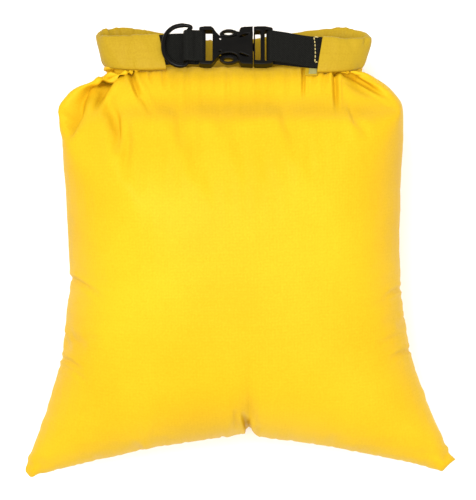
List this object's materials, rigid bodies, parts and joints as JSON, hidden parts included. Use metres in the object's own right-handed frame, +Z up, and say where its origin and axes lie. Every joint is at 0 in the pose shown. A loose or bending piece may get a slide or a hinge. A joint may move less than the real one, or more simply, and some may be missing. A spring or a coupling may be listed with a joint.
{
  "type": "roll-top compression sack",
  "caption": "Air-filled coated nylon sack with a rolled-down mouth, its ends joined by a side-release buckle into a carrying ring, with a D-ring.",
  "frame": {"origin": "on the surface the sack lies on, under the middle of its outline", "axes": "+Z up, out of the front face; +Y from the bottom seam to the rolled mouth; +X to the right as the front face is seen"},
  "size_m": [0.331, 0.3458, 0.1572],
  "materials": {
    "yellow_nylon": "satin coated nylon",
    "seam_tape": "satin",
    "black_webbing": "woven, matte",
    "black_acetal": "satin moulded",
    "yellow_thread": "sewing thread",
    "black_thread": "sewing thread"
  },
  "bodies": {
    "sack": {"front_panel": "yellow_nylon", "back_panel": "yellow_nylon", "seam_tape_left": "seam_tape", "seam_tape_right": "seam_tape", "seam_tape_bottom": "seam_tape", "rolled_mouth": "yellow_nylon", "mouth_webbing": "black_webbing", "mouth_stiffener": "seam_tape", "left_strap": "black_webbing", "left_strap_box_stitch": "black_thread", "d_ring_tack_stitch": "black_thread", "buckle_socket": "black_acetal"},
    "right_end": {"rolled_mouth_right_end": "yellow_nylon", "right_strap": "black_webbing", "right_strap_box_stitch": "yellow_thread", "inner_hem": "seam_tape", "buckle_plug": "black_acetal"},
    "arm_upper": {"plug_arm_upper": "black_acetal"},
    "arm_lower": {"plug_arm_lower": "black_acetal"},
    "d_ring": {"d_ring": "black_acetal"}
  },
  "joints": [
    {"name": "buckle_release", "type": "slide", "parent": "sack", "child": "right_end", "axis": [1, 0, 0], "range_m": [0, 0.026]},
    {"name": "arm_upper_flex", "type": "hinge", "parent": "right_end", "child": "arm_upper", "pos_m": [0.01155, 0.16284, 0.10285], "axis": [0, 0.342, 0.9397], "range_deg": [0, 17]},
    {"name": "arm_lower_flex", "type": "hinge", "parent": "right_end", "child": "arm_lower", "pos_m": [0.01155, 0.14555, 0.10915], "axis": [0, 0.342, 0.9397], "range_deg": [-17, 0]},
    {"name": "d_ring_swing", "type": "hinge", "parent": "sack", "child": "d_ring", "pos_m": [-0.03835, 0.15488, 0.10788], "axis": [0, 0.9397, -0.342], "range_deg": [0, 140]}
  ],
  "couplings": [
    {"joint": "arm_upper_flex", "follows": "buckle_release", "rad_per_m": 11},
    {"joint": "arm_lower_flex", "follows": "buckle_release", "rad_per_m": -11}
  ]
}
